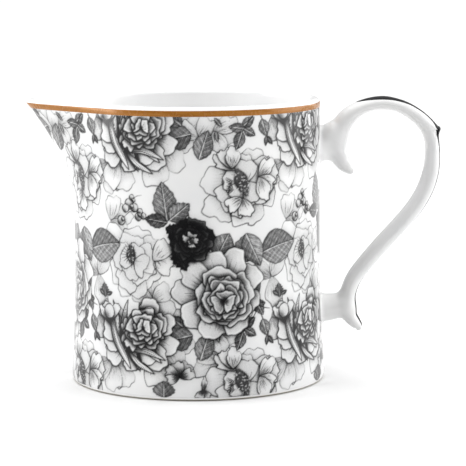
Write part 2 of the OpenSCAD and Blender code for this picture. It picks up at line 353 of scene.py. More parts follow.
def draw_print():
    # ---- pale open flowers and loose petals that fill the ground ----------------------
    pale = dict(light=1.0, dark=0.78, hatch=0.16, outline=0.74, line=0.135, shadow=0.22, spread=0.6, rim=0.05, lip=0.0, fade=0.6, creases=8, crease=0.45, crease_w=0.085, ground=0.1)
    for zz in (17.5, 77.0):
        petals(-13.5, zz + 2.5, [(-12, 2.5, 10.5, 5.2), (-48, 3, 11, 5), (28, 3, 9.5, 4.6), (62, 3, 8.5, 4.2), (-82, 5, 11, 5.2), (95, 3, 7.5, 4)], seed=3, **pale)
        petals(-26, zz - 6, [(-60, 0, 9.5, 4.6), (-100, 1, 9, 4.4), (-150, 2, 9, 4.6)], seed=5, **pale)
    petals(-25, 71.5, [(-70, 0, 10, 5), (-110, 0, 9, 4.6)], seed=7, **pale)
    petals(7, 12, [(-160, 0, 8, 4), (150, 0, 7, 4)], seed=8, **pale)

    petals(-27.5, 53.0, [(20, 0, 8.0, 4.0), (-35, 0, 7.5, 3.8), (80, 0, 7.5, 3.6)], seed=101, **pale)
    petals(1.0, 78.0, [(100, 0, 7.5, 3.8), (55, 0, 7.0, 3.6), (150, 0, 7.0, 3.4)], seed=102, **pale)
    petals(24.0, 36.0, [(150, 0, 7.5, 3.6), (60, 0, 7.5, 3.6), (-80, 0, 9.0, 4.2)], seed=103, **pale)
    petals(-13.0, 30.0, [(100, 0, 6.5, 3.2), (35, 0, 6.5, 3.4), (160, 0, 7.0, 3.2)], seed=104, **pale)
    for zz in (0.0, 59.5):
        petals(5.5, 20.5 + zz, [(-20, 0, 7.0, 3.4), (25, 0, 7.5, 3.4), (-65, 0, 7.0, 3.2)], seed=105, **pale)
        petals(24.0, 24.0 + zz, [(-30, 0, 7.0, 3.4), (-75, 0, 7.5, 3.2), (30, 0, 6.5, 3.0)], seed=106, **pale)
    # white anemone
    rose(-19.0, 41.2, 10.2, 21, rings=3, light=1.0, dark=0.80, hatch=0.16, outline=0.80, line=0.14, ruffle=0.6, shadow=0.28, spread=0.5, first=6, squash=1.06, fade=0.4, rim=0.05, lip=0.02, turn=0.4, side=0.05, creases=8, crease=0.52, ground=0.1)
    petals(-12.0, 42.5, [(10, 0, 6.2, 3.8), (-35, 0, 6.0, 3.6), (50, -1, 7.5, 3.4)], seed=31, light=1.0, dark=0.80, hatch=0.16, outline=0.80, line=0.14, shadow=0.28, spread=0.5, rim=0.05, fade=0.3, creases=8, crease=0.52, crease_w=0.09, ground=0.1)
    seeds(-20.0, 43.2, 1.5, 2.4, 4)
    fringe(-20.0, 43.0, 1.6, 3.6, 60, 300, 13, 5)

    # peonies with a stippled heart
    for zz in (64.5, 5.0):
        rose(15.0, zz, 12.2, 11, rings=3, light=1.0, dark=0.74, hatch=0.18, outline=0.88, line=0.15, ruffle=0.65, shadow=0.40, spread=0.5, first=7, fade=0.3, rim=0.05, lip=0.02, turn=0.2, side=0.06, creases=9, crease=0.6, ground=0.1)
        petals(19.5, zz + 1.5, [(8, 0, 7.2, 3.6), (48, 0, 6.8, 3.0), (-30, 0, 6.2, 3.0), (-65, 0, 7, 3.2)], seed=12, light=1.0, dark=0.66, hatch=0.22, outline=0.90, line=0.155, shadow=0.42, spread=0.6, rim=0.06, fade=0.2, creases=9, crease=0.7, crease_w=0.095, ground=0.1)
        petals(14.0, zz - 4.5, [(-110, 0, 5.5, 3.0), (-70, 0, 5.8, 3.0), (-150, 0, 5.4, 2.6)], seed=13, light=1.0, dark=0.66, hatch=0.22, outline=0.90, line=0.155, shadow=0.42, spread=0.6, rim=0.06, fade=0.2, creases=9, crease=0.7, crease_w=0.095, ground=0.1)
        petals(11.0, zz + 4.5, [(150, -1, 7.5, 2.2), (120, 0, 6.5, 2.4), (85, 0, 6, 3)], seed=14, light=1.0, dark=0.66, hatch=0.22, outline=0.90, line=0.155, shadow=0.42, spread=0.6, rim=0.06, fade=0.2, creases=9, crease=0.7, crease_w=0.095, ground=0.1)
        seeds(14.0, zz + 0.2, 2.0, 3.9, 6, ang=0.35)
        fringe(13.4, zz - 0.3, 2.2, 4.4, 150, 222, 14, 8, width=0.11, dark=0.9)

    # ---- leaves --------------------------------------------------------------------
    leaf(-37.2, 43.2, 12, 13.6, 5.2, shade=0.47, seed=1, half=-0.05, bend=0.6, serrate=0.1)
    leaf(-43.5, 39.8, -58, 10.5, 3.7, shade=0.51, seed=2, half=0.05, serrate=0.1)
    leaf(-42.0, 41.0, 88, 8.6, 4.2, shade=0.49, seed=3, half=0.04, serrate=0.5)
    leaf(15.2, 49.5, -64, 11.0, 3.4, shade=0.53, seed=4, half=0.06, serrate=0.1)
    leaf(6.2, 42.6, 62, 8.2, 3.9, shade=0.52, seed=5, half=0.05, serrate=0.12)
    leaf(-8.3, 53.5, 98, 11.8, 3.6, shade=0.47, seed=6, half=0.02, serrate=0.35, vein_light=0.3)
    leaf(-7.6, 53.8, 40, 7.8, 2.9, shade=0.49, seed=7, half=0.04, serrate=0.55)
    leaf(-8.2, 53.2, 172, 7.2, 2.2, shade=0.28, seed=8, half=0.04, serrate=0.2)
    for zz in (0.0, 59.5):
        leaf(-1.0, 19.8 + zz, 193, 8.6, 3.9, shade=0.45, seed=9, half=-0.05, serrate=0.3)
        leaf(1.2, 12.2 + zz, 72, 9.0, 2.9, shade=0.49, seed=10, half=0.05, serrate=0.2)
        leaf(-3.8, 22.2 + zz, 140, 4.6, 1.9, shade=0.43, seed=11, half=0.05, serrate=0.15)
        leaf(14.2, 21.6 + zz, 35, 4.8, 1.5, shade=0.43, seed=12, serrate=0.1)
        leaf(15.2, 21.0 + zz, 172, 5.2, 1.5, shade=0.43, seed=13, serrate=0.1)
        leaf(14.2, 20.2 + zz, 250, 5.6, 1.8, shade=0.39, seed=14, serrate=0.1)
        leaf(14.8, 21.0 + zz, -30, 4.2, 1.4, shade=0.41, seed=15, serrate=0.1)
        stroke([[14.6, 21.2 + zz], [17.5, 24.5 + zz], [19.0, 27.0 + zz]], 0.18, 0.7)
        # hanging bud with its stalk
        stroke([[19.4, 28.0 + zz], [20.4, 24.5 + zz], [21.6, 22.2 + zz]], 0.2, 0.8)
        leaf(20.6, 23.6 + zz, -72, 5.4, 1.8, shade=0.49, seed=16, serrate=0.1, vein_light=0.2)
        leaf(22.4, 18.4 + zz, -50, 3.2, 0.8, shade=0.37, seed=17, serrate=0.1, vein_light=0.1)
        leaf(22.2, 18.6 + zz, -95, 3.0, 0.7, shade=0.37, seed=18, serrate=0.1, vein_light=0.1)
        leaf(5.8, 24.4 + zz, -50, 3.4, 0.7, shade=0.47, seed=19, serrate=0.1, vein_light=0.15)
        leaf(6.2, 20.4 + zz, -80, 3.0, 0.7, shade=0.49, seed=20, serrate=0.1, vein_light=0.15)
    # dark sprig by the handle side
    leaf(16.5, 27.5, 10, 5.2, 2.0, shade=0.41, seed=21, serrate=0.3)
    leaf(18.5, 29.0, -60, 4.8, 1.5, shade=0.45, seed=22, serrate=0.2)
    stroke([[17.0, 29.8], [20.0, 27.5], [23.5, 26.5]], 0.18, 0.8)
    # small pointed bud
    leaf(27.0, 29.6, 95, 4.2, 1.6, shade=0.41, seed=23, serrate=0.5, vein_light=0.1)
    leaf(26.4, 30.4, 150, 2.4, 0.7, shade=0.37, seed=24, serrate=0.1, vein_light=0.1)
    leaf(27.8, 30.4, 20, 2.4, 0.7, shade=0.37, seed=25, serrate=0.1, vein_light=0.1)

    # berries and tiny flowers
    for (x, z, r, sd) in [(-20.5, 58.2, 1.5, 1), (-18.7, 57.2, 1.2, 2), (-21.8, 56.9, 1.1, 3), (-17.4, 54.6, 1.1, 4), (-15.8, 54.9, 0.9, 5), (-23.4, 53.2, 1.3, 6), (-16.8, 56.2, 0.8, 7), (-19.6, 60.2, 0.8, 8)]:
        bud(x, z, r, sd, shade=0.5)
    for (x, z) in [(-19.6, 57.6), (-17.0, 55.2), (-19.0, 59.4), (-22.8, 53.6)]:
        bud(x, z, 0.55, 3, shade=0.05)
    stroke([[-23.0, 53.5], [-20.5, 55.8], [-18.0, 56.0], [-14.6, 54.0]], 0.13, 0.75)
    stroke([[-20.0, 58.5], [-18.2, 60.5], [-16.0, 61.0]], 0.12, 0.6)

    # half-tone flower and small bud at the foot
    petals(-5.0, 7.2, [(60, 0, 5.2, 2.6), (105, 0, 4.8, 2.6), (20, 0, 4.6, 2.0), (150, 0, 4.8, 2.2), (195, 0, 4.0, 1.8)], seed=41, light=0.86, dark=0.25, hatch=0.5, outline=0.7, line=0.15, shadow=0.3, rim=0.1, ruffle=0.3)
    leaf(-9.8, 1.0, 90, 5.0, 3.4, shade=0.40, seed=26, serrate=0.3)
    petals(2.0, 3.4, [(-60, 0, 3.0, 1.6), (-120, 0, 3.0, 1.6), (80, -1, 5.0, 0.9)], seed=42, light=0.85, dark=0.2, hatch=0.4, outline=0.7, line=0.15, shadow=0.25, rim=0.1, ruffle=0.2)

    # ---- the big shaded rose in the middle --------------------------------------------
    mid = dict(light=0.97, dark=0.36, hatch=0.30, outline=0.80, line=0.16, shadow=0.45, spread=1.0, rim=0.12, lip=0.14, fade=0.3, side=0.22, creases=7, crease=0.5, crease_w=0.09)
    petals(7.5, 31.5, [(175, 2, 12.5, 5.4), (215, 2, 12.0, 5.0), (255, 2, 11.5, 5.2), (300, 2, 11.0, 5.2), (345, 2, 10.5, 5.0), (30, 2, 12.0, 5.4), (68, 2, 12.5, 5.2), (105, 2, 12.0, 5.2), (142, 2, 12.5, 5.0)], seed=51, **mid)
    rose(7.8, 31.0, 9.0, 52, rings=6, light=0.97, dark=0.16, hatch=0.4, outline=0.88, line=0.17, ruffle=0.45, shadow=0.55, first=5, heart=(0.8, -1.4), contrast=1.0, rim=0.16, lip=0.26, side=0.26, creases=6, crease=0.6)

    # ---- dark engraved rose, twice up the height ---------------------------------------
    for zz in (0.0, 59.5):
        cx, cz = -16.6, 20.8 + zz
        white = dict(light=1.0, dark=0.42, hatch=0.22, outline=0.92, line=0.17, shadow=0.42, rim=0.05, lip=0.05, creases=8, crease=0.65, crease_w=0.09, side=0.10, fade=0.15)
        petals(cx - 1, cz - 1, [(-20, 3, 9.5, 4.6), (-52, 2, 10.5, 4.8), (20, 3, 8.8, 4.2), (65, 3, 8.2, 4.2)], seed=61, **{**white, "dark": 0.5, "outline": 0.8})
        petals(cx - 6.5, cz - 2.5, [(235, 0, 9.8, 4.4), (200, -1, 9.0, 4.4), (160, 0, 8.6, 4.6), (115, 0, 9.4, 4.2)], seed=62, **white)
        petals(cx - 3.0, cz - 4.0, [(-95, 0, 8.5, 3.8), (-40, 0, 8.6, 4.0)], seed=75, **white)
        # a dark hollow, and long folded petals crossing down to the right over it
        t = np.linspace(0, 2 * np.pi, 24, endpoint=False)
        fill(placed(np.stack([8.6 * np.cos(t), 1.9 * np.sin(t)], -1), cx - 4.6, cz - 4.2, math.radians(-60)), light=0.06, dark=0.05, reach=4, hatch=0, outline=0.5, line=0.3, shadow=0.45, spread=0.9, rim=0)
        blade(cx - 11.4, cz + 3.4, -64, 17.0, 1.5, bend=-0.7, seed=63)
        blade(cx - 9.2, cz + 4.6, -63, 19.0, 1.25, bend=0.3, seed=64, crest_at=0.0)
        blade(cx - 7.6, cz + 1.2, -64, 14.6, 1.1, bend=0.8, seed=65, crest_at=-0.1)
        blade(cx - 5.2, cz - 3.6, -27, 12.8, 1.35, bend=1.0, seed=66)
        blade(cx - 4.6, cz - 6.2, -12, 12.2, 1.0, bend=1.2, seed=67, crest_at=0.1)
        blade(cx - 4.4, cz - 7.2, -34, 10.0, 0.9, bend=-0.5, seed=76, crest_at=0.1)
        blade(cx - 6.4, cz - 3.4, 82, 12.2, 1.0, bend=0.5, seed=70)
        blade(cx - 8.2, cz - 2.6, 101, 11.0, 0.9, bend=-0.4, seed=74)
        petals(cx - 1.5, cz - 1.5, [(150, 0, 6.5, 2.6), (190, 0, 5.8, 2.4), (230, 0, 5.6, 2.6)], seed=68, **{**white, "dark": 0.2, "shadow": 0.6})
        rose(cx + 0.4, cz + 0.6, 6.8, 69, rings=5, light=1.0, dark=0.06, hatch=0.35, outline=0.96, line=0.19, ruffle=0.5, shadow=0.66, first=5, fade=0.1, rim=0.10, lip=0.25, side=0.25, creases=6, crease=0.8, reach_k=0.34)
        # round bud and its upright sepal at the left
        bud(cx - 12.2, cz + 4.2, 2.4, 71, shade=0.45)
        petals(cx - 12.0, cz + 1.0, [(100, 0, 6.6, 2.6), (60, 1, 6.2, 1.8), (130, 1, 5.2, 1.5)], seed=72, light=0.97, dark=0.3, hatch=0.3, outline=0.9, line=0.18, shadow=0.4, rim=0.08, ruffle=0.2, creases=7, crease=0.65, crease_w=0.085)
        bud(cx - 12.0, cz + 4.6, 2.0, 73, shade=0.55)

    # ---- the nearly black rose ---------------------------------------------------------
    rng = np.random.RandomState(81)
    n = 40
    t = np.linspace(0, 2 * np.pi, n, endpoint=False)
    r = 6.5 * (1 + 0.07 * np.sin(3 * t + 1) + 0.05 * np.sin(5 * t) + 0.03 * ((np.arange(n) % 2) - 0.5) * 2)
    fill(np.stack([-1.4 + r * np.cos(t) * 1.02, 47.8 + r * np.sin(t) * 0.98], -1), light=0.10, dark=0.05, reach=6, hatch=0.0, outline=0.5, line=0.2, shadow=0.4, spread=0.6, rim=0.03)
    leaf(-6.2, 45.6, -62, 7.6, 2.4, shade=0.09, seed=82, serrate=0.7, vein_light=0.05, half=0.02)
    leaf(-8.8, 51.6, -20, 6.0, 2.0, shade=0.11, seed=83, serrate=0.6, vein_light=0.05, half=0.02)
    rose(-1.4, 47.9, 6.4, 84, rings=5, light=0.34, dark=0.03, hatch=0.08, outline=0.85, line=0.2, ruffle=0.45, shadow=0.6, first=6, fade=0.2, rim=0.0, lip=0.10, reach_k=0.75)
    petals(-1.6, 47.4, [(75, -0.4, 3.4, 1.7), (140, -0.3, 2.8, 1.4), (20, -0.3, 2.7, 1.3), (-70, -0.3, 2.2, 1.2)], seed=86, light=0.80, dark=0.16, hatch=0.25, outline=0.9, line=0.17, shadow=0.5, spread=0.5, rim=0.1, ruffle=0.3, creases=4, crease=0.6, crease_w=0.08)
    seeds(-1.5, 47.6, 0.7, 0.6, 85)


# ======================================================================================
# The cup's surface, from the same rules as the CAD part
# ======================================================================================
JUG_H, WALL_R, FLARE, FLARE_H, WALL_T = 87.0, 38.0, 1.3, 40.0, 3.0
REACH, SPOUT_FROM, RIDGE = 15.2, 50.0, 5.0
LINE_TOP, LINE_LOW = 86.0, 84.3


def wall(z):
    return WALL_R + FLARE * np.clip((FLARE_H - z) / (FLARE_H - 6.0), 0, 1) ** 2


def beak(z):
    return REACH * np.clip((z - SPOUT_FROM) / (JUG_H - SPOUT_FROM), 0, 1) ** 2


def radius_at(a, z, inset):
    """Radius a degrees from the beak's ridge at height z, set in from the outside by inset."""
    a = np.abs(a)
    th = np.degrees(np.arccos(np.clip(wall(z) / (wall(z) + beak(z)), -1, 1))) + RIDGE
    lean = th - np.sqrt(a * a + RIDGE * RIDGE)
    lean = np.where(lean > 0, lean, 0.0)
    return (wall(z) - inset) / np.cos(np.radians(lean))


def on_cup(a, z, inset):
    """Points for arrays of signed angles (plus is the near side, -Y), heights and insets."""
    r = radius_at(a, z, inset)
    t = np.radians(a)
    return np.stack([-r * np.cos(t), -r * np.sin(t), z + 0 * r], -1)


def add_mesh(name, points_mm, faces, smooth=True):
    me = bpy.data.meshes.new(name)
    faces = np.asarray(faces) if not isinstance(faces, list) else faces
    me.from_pydata((np.asarray(points_mm) * MM).tolist(), [], faces if isinstance(faces, list) else faces.tolist())
    me.validate(verbose=False)
    if smooth:
        me.polygons.foreach_set("use_smooth", [True] * len(me.polygons))
    me.update()
    o = bpy.data.objects.new(name, me)
    bpy.context.scene.collection.objects.link(o)
    return o


def float_attribute(obj, name, values):
    at = obj.data.attributes.new(name, "FLOAT", "POINT")
    at.data.foreach_set("value", np.asarray(values, np.float32).ravel())


def columns():
    side = np.concatenate([np.arange(0.4, 6, 0.4), np.arange(6, 20, 0.7), np.arange(20, 180, 1.0)])
    return np.concatenate([[0.0], side, [180.0], -side[::-1]])


def lathe(name, rows, low=None, high=None):
    """A closed surface from rows of (z, inset) round the cup. low and high are the heights of the centre points that close it; without them the last row joins the first."""
    cols = columns()
    n, m = len(cols), len(rows)
    pts = [on_cup(cols, np.full(n, z), np.full(n, i)) for z, i in rows]
    pts = np.concatenate(pts)
    faces = []
    last = m - 1 if low is not None else m
    j = np.arange(n)
    for i in range(last):
        k = (i + 1) % m
        q = np.stack([i * n + j, i * n + (j + 1) % n, k * n + (j + 1) % n, k * n + j], -1)
        faces += q.tolist()
    if low is not None:
        pts = np.concatenate([pts, [[0, 0, low], [0, 0, high]]])
        faces += np.stack([np.full(n, m * n), (j + 1) % n, j], -1).tolist()
        faces += np.stack([np.full(n, m * n + 1), (m - 1) * n + j, (m - 1) * n + (j + 1) % n], -1).tolist()
    return add_mesh(name, pts, faces)


def body_rows():
    rows = []
    for r in (12, 22, 30, 33.2):
        rows.append((1.8, 39.3 - r))
    for r, z in ((34.2, 1.72), (34.8, 1.4), (35.2, 0.85), (35.45, 0.35), (35.65, 0.1), (35.95, 0.0), (37.0, 0.0), (38.0, 0.0), (38.3, 0.04),
                 (38.6, 0.17), (38.85, 0.38), (39.05, 0.68), (39.19, 1.05), (39.27, 1.5), (39.3, 2.1)):
        rows.append((z, 39.3 - r))
    for z in np.concatenate([np.arange(3.0, 84.0, 1.25), [84.3, 84.8, 85.3]]):
        rows.append((float(z), 0.0))
    for q in np.linspace(0, 180, 19)[1:-1]:
        c, s = math.cos(math.radians(q)), math.sin(math.radians(q))
        rows.append((85.55 + 1.45 * abs(s) ** 0.85, 1.5 - 1.5 * math.copysign(abs(c) ** 0.85, c)))
    for z in np.arange(85.2, 13.5, -1.5):
        rows.append((float(z), WALL_T))
    for q in np.linspace(0, 90, 13)[1:]:
        rows.append((5.6 + 7.0 * (1 - math.sin(math.radians(q))), WALL_T + 7.0 * (1 - math.cos(math.radians(q)))))
    for r in (24, 16, 8):
        rows.append((5.6, 39.3 - r))
    return rows


# ---- the printed skin, in panels, with the drawing carried on its points -----------------
def arc_from_front(a, z):
    """Length along the wall from the middle of a side (90 degrees) to each angle of a, at height z. Plus is towards the beak."""
    fine = np.linspace(0, 180, 721)
    p = on_cup(fine, np.full(721, z), np.zeros(721))
    run = np.concatenate([[0], np.cumsum(np.linalg.norm(np.diff(p, axis=0), axis=1))])
    return np.interp(90.0, fine, run) - np.interp(a, fine, run)


def tone_at(s, z):
    x = s / STEP - 0.5
    y = np.clip(z / STEP - 0.5, 0, NZ - 1.001)
    x0, y0 = np.floor(x).astype(int), np.floor(y).astype(int)
    fx, fy = x - x0, y - y0
    y1 = np.minimum(y0 + 1, NZ - 1)
    a, b = x0 % NS, (x0 + 1) % NS
    return (tone[y0, a] * (1 - fx) + tone[y0, b] * fx) * (1 - fy) + (tone[y1, a] * (1 - fx) + tone[y1, b] * fx) * fy


def printed_panel(name, side, t0, t1, angles, rows, thick=0.09):
    """One panel of a transfer sheet: a fine outer face, a coarse inner face, and joined edges."""
    cell = 4
    i0, i1 = int(round(t0 * (len(angles) - 1))), int(round(t1 * (len(angles) - 1)))
    i1 = i0 + (i1 - i0) // cell * cell
    a = angles[i0:i1 + 1]
    nz, nc = len(rows), len(a)
    zz, aa = np.meshgrid(rows, a, indexing="ij")
    outer = on_cup(side * aa, zz, np.full(aa.shape, -thick))
    s = np.stack([arc_from_front(a, z) for z in rows])
    if side > 0:
        s = -s
    else:
        # the far sheet's drawing is spread a little, so that it meets the near one at both ends
        ends_at = np.stack([np.abs(arc_from_front(np.array([0.0, 180.0]), z)) for z in rows])
        run = np.where(s > 0, ends_at[:, :1], ends_at[:, 1:])
        s = s * (2 * REPEAT - run) / run
    ink = tone_at(s, zz)
    # let the outer face run down to the wall at the panel's top, bottom and two sheet edges
    rim = np.minimum(ease(zz, rows[0] - 0.01, rows[0] + 0.5), 1 - ease(zz, rows[-1] - 0.24, rows[-1] + 0.01))
    ends = np.minimum(ease(aa, angles[0] - 0.01, angles[0] + 0.35), 1 - ease(aa, angles[-1] - 0.35, angles[-1] + 0.01))
    lift = np.minimum(rim, ends)[..., None]
    outer = on_cup(side * aa, zz, np.zeros(aa.shape)) * (1 - lift) + outer * lift
    cz, ca = rows[::cell], a[::cell]
    iz, ia = np.meshgrid(cz, ca, indexing="ij")
    inner = on_cup(side * ia, iz, np.full(ia.shape, 0.06))
    no = nz * nc
    idx = np.arange(no).reshape(nz, nc)
    jdx = no + np.arange(inner.shape[0] * inner.shape[1]).reshape(inner.shape[:2])
    quads = np.stack([idx[:-1, :-1], idx[:-1, 1:], idx[1:, 1:], idx[1:, :-1]], -1).reshape(-1, 4)
    back = np.stack([jdx[:-1, :-1], jdx[1:, :-1], jdx[1:, 1:], jdx[:-1, 1:]], -1).reshape(-1, 4)
    tri = []

    def stitch(fine, coarse):
        for k in range(len(coarse) - 1):
            f = fine[k * cell:(k + 1) * cell + 1]
            for q in range(cell // 2):
                tri.append([f[q + 1], f[q], coarse[k]])
            tri.append([f[cell // 2], coarse[k], coarse[k + 1]])
            for q in range(cell // 2, cell):
                tri.append([f[q + 1], f[q], coarse[k + 1]])

    stitch(idx[0, :], jdx[0, :])
    stitch(idx[:, -1], jdx[:, -1])
    stitch(idx[-1, ::-1], jdx[-1, ::-1])
    stitch(idx[::-1, 0], jdx[::-1, 0])
    faces = quads.tolist() + back.tolist() + tri
    if side < 0:
        faces = [f[::-1] for f in faces]
    pts = np.concatenate([outer.reshape(-1, 3), inner.reshape(-1, 3)])
    o = add_mesh(name, pts, faces)
    float_attribute(o, "ink", np.concatenate([ink.ravel(), ink[::cell, ::cell].ravel()]))
    o.data.set_sharp_from_angle(angle=math.radians(50))
    return o


# ======================================================================================
# The handle, as a blended field round drawn strands
# ======================================================================================
W = 4.3
STRANDS = {
    "ribbon": [[42, 74.5, 4.4, W + 0.7], [44.3, 77.6, 3.2, W + 0.3], [46.7, 80.8, 2.8, W], [49.8, 83.2, 2.3, W - 0.1],
               [53.8, 84.7, 2.1, W - 0.2], [57.8, 85.1, 2.1, W - 0.2], [61.8, 84.4, 2, W - 0.2], [65.4, 82.8, 2.1, W - 0.1],
               [68.8, 80.2, 2.2, W], [71.4, 77.2, 2.35, W], [72.6, 73.2, 2.2, W], [72.75, 68.7, 2.3, W],
               [72.4, 64.2, 2.5, W], [71, 59.4, 2.6, W], [68.8, 55, 2.6, W], [65.8, 50.8, 2.6, W], [61.9, 46.3, 2.6, W],
               [57.2, 41.2, 2.6, W], [52.7, 36, 2.55, W], [49.4, 31.9, 2.45, W], [47.5, 28.3, 2.45, W + 0.1],
               [46.6, 24.6, 2.5, W + 0.2], [46.5, 21.3, 2.55, W + 0.2]],
    "upper_foot": [[34, 71.7, 5, W + 0.9], [39, 72.3, 5, W + 0.8], [42, 74.5, 4.4, W + 0.7]],
    "lower_foot": [[34, 21.3, 4.6, W + 0.9], [40, 21.4, 4.3, W + 0.7], [44.5, 22, 3.8, W + 0.4]],
    "upper_curl": [[42.6, 71.2, 3.6, W + 0.5], [44.9, 67.1, 2.5, W - 0.2], [46.2, 65.5, 2.1, W - 0.8],
                   [47.0, 64.7, 1.7, W - 1.4], [47.3, 64.45, 1.45, W - 1.8]],
    "lower_curl": [[46.5, 21.5, 2.4, W], [47.4, 18.7, 2.3, W - 0.3], [48.9, 16.7, 1.9, W - 0.9],
                   [49.8, 15.7, 1.5, W - 1.5], [50.15, 15.05, 1.1, W - 2.1]],
    "spur": [[71.9, 76.8, 1.9, W - 0.2], [73.3, 76.95, 1.4, W - 0.6], [74.4, 77.0, 0.65, W - 1.5]],
    "brow": [[65.0, 82.9, 1.7, W - 0.5], [68.5, 81.2, 1.6, W - 0.5], [71.0, 79.2, 1.55, W - 0.6], [73.2, 77.5, 1.2, W - 0.9], [74.4, 76.95, 0.65, W - 1.5]],
    "heel": [[74.4, 76.95, 0.65, W - 1.5], [74.1, 75.9, 0.75, W - 1.1], [73.5, 74.5, 1.15, W - 0.8], [73.2, 72.9, 1.4, W - 0.5], [73.1, 70.8, 1.7, W - 0.3]],
}
BLEND = {"ribbon": 0.0, "upper_foot": 2.2, "lower_foot": 2.2, "upper_curl": 1.4, "lower_curl": 1.2, "spur": 0.8, "brow": 0.7, "heel": 0.7}


def spline(p, n):
    """n points a span on a smooth open curve through the stations."""
    p = np.asarray(p, float)
    q = []
    for i in range(len(p) - 1):
        a, b, c, d = p[max(0, i - 1)], p[i], p[i + 1], p[min(len(p) - 1, i + 2)]
        for k in range(n):
            t = k / n
            q.append(0.5 * (2 * b + (c - a) * t + (2 * a - 5 * b + 4 * c - d) * t * t + (3 * b - a - 3 * c + d) * t ** 3))
    q.append(p[-1])
    return np.array(q)


CURVES = {k: spline(v, 12) for k, v in STRANDS.items()}


def strand(curve, x, z):
    """For points in the handle's plane: distance from the strand's line, and its half thickness and width there."""
    a, b = curve[:-1], curve[1:]
    e = b[:, :2] - a[:, :2]
    l2 = (e ** 2).sum(1)
    best = np.full(x.shape, 1e9)
    ha, hb = np.zeros(x.shape), np.zeros(x.shape)
    for i in range(len(a)):
        t = np.clip(((x - a[i, 0]) * e[i, 0] + (z - a[i, 1]) * e[i, 1]) / l2[i], 0, 1)
        d = np.hypot(x - a[i, 0] - t * e[i, 0], z - a[i, 1] - t * e[i, 1])
        m = d < best
        best = np.where(m, d, best)
        ha = np.where(m, a[i, 2] + t * (b[i, 2] - a[i, 2]), ha)
        hb = np.where(m, a[i, 3] + t * (b[i, 3] - a[i, 3]), hb)
    return best, ha, hb


def section(e, y, ha, hb, power=2.0):
    k = ((e / ha) ** power + (np.abs(y) / hb) ** power) ** (1 / power)
    r = np.hypot(e, y)
    k = np.maximum(k, 1e-6)
    return np.where(k > 0.05, r - r / k, -np.minimum(ha, hb))


def blend(a, b, k):
    if k <= 0:
        return np.minimum(a, b)
    h = np.clip(0.5 + 0.5 * (b - a) / k, 0, 1)
    return b * (1 - h) + a * h - k * h * (1 - h)


def handle_plane(x, z):
    return {k: strand(c, x, z) for k, c in CURVES.items()}


def handle_field(x, y, z, plane=None):
    plane = plane or handle_plane(x, z)
    f = None
    for k in STRANDS:
        e, ha, hb = plane[k]
        d = section(e, y, ha, hb)
        f = d if f is None else blend(f, d, BLEND[k])
    return f


def cup_field(x, y, z):
    """Distance outside the round wall."""
    return np.hypot(x, y) - wall(z)


def nets(field, origin, h):
    """A mesh of quads round where the field is below zero, with one point in each crossed cell."""
    ins = field < 0
    c = [ins[i:ins.shape[0] - 1 + i, j:ins.shape[1] - 1 + j, k:ins.shape[2] - 1 + k] for i in (0, 1) for j in (0, 1) for k in (0, 1)]
    total = sum(x.astype(np.int8) for x in c)
    act = np.argwhere((total > 0) & (total < 8))
    ids = -np.ones(total.shape, int)
    ids[tuple(act.T)] = np.arange(len(act))
    corner = np.array([(i, j, k) for i in (0, 1) for j in (0, 1) for k in (0, 1)])
    val = np.stack([field[tuple((act + o).T)] for o in corner], 1)
    acc, cnt = np.zeros((len(act), 3)), np.zeros(len(act))
    for p in range(8):
        for q in range(p + 1, 8):
            if np.abs(corner[p] - corner[q]).sum() != 1:
                continue
            m = (val[:, p] < 0) != (val[:, q] < 0)
            t = np.where(m, val[:, p] / np.where(m, val[:, p] - val[:, q], 1), 0)[:, None]
            acc += np.where(m[:, None], corner[p] + t * (corner[q] - corner[p]), 0)
            cnt += m
    pts = origin + h * (act + acc / cnt[:, None])
    quads = []
    for ax in range(3):
        u, v = [(1, 2), (2, 0), (0, 1)][ax]
        lo = [slice(None)] * 3
        hi = [slice(None)] * 3
        lo[ax], hi[ax] = slice(0, -1), slice(1, None)
        cross = np.argwhere(ins[tuple(lo)] != ins[tuple(hi)])
        cross = cross[(cross[:, u] > 0) & (cross[:, v] > 0) & (cross[:, u] < ins.shape[u] - 1) & (cross[:, v] < ins.shape[v] - 1)]
        du, dv = np.zeros(3, int), np.zeros(3, int)
        du[u], dv[v] = 1, 1
        q = np.stack([ids[tuple((cross - du - dv).T)], ids[tuple((cross - dv).T)], ids[tuple(cross.T)], ids[tuple((cross - du).T)]], 1)
        out = ins[tuple(cross.T)]
        q[~out] = q[~out][:, ::-1]
        quads.append(q)
    return pts, np.concatenate(quads)


def settle(pts, fn, level=0.0, steps=4, h=0.02):
    """Moves points onto a field's level, along its slope."""
    p = np.array(pts, float)
    for _ in range(steps):
        v = fn(p[:, 0], p[:, 1], p[:, 2]) - level
        g = np.stack([(fn(p[:, 0] + (i == 0) * h, p[:, 1] + (i == 1) * h, p[:, 2] + (i == 2) * h) - level - v) / h for i in range(3)], 1)
        g2 = np.maximum((g ** 2).sum(1), 0.05)
        p -= np.clip(v / g2, -0.4, 0.4)[:, None] * g
    return p


def field_mesh(name, fn, lo, hi, h):
    ax = [np.arange(lo[i], hi[i] + h, h) for i in range(3)]
    xx, zz = np.meshgrid(ax[0], ax[2], indexing="ij")
    plane = handle_plane(xx, zz)
    f = np.stack([fn(xx, np.full(xx.shape, y), zz, plane) for y in ax[1]], 1)
    pts, quads = nets(f, np.array([a[0] for a in ax]), h)
    pts = settle(pts, fn)
    return add_mesh(name, pts, quads)


def handle_solid(x, y, z, plane=None):
    return np.maximum(handle_field(x, y, z, plane), -(cup_field(x, y, z) + 0.35))


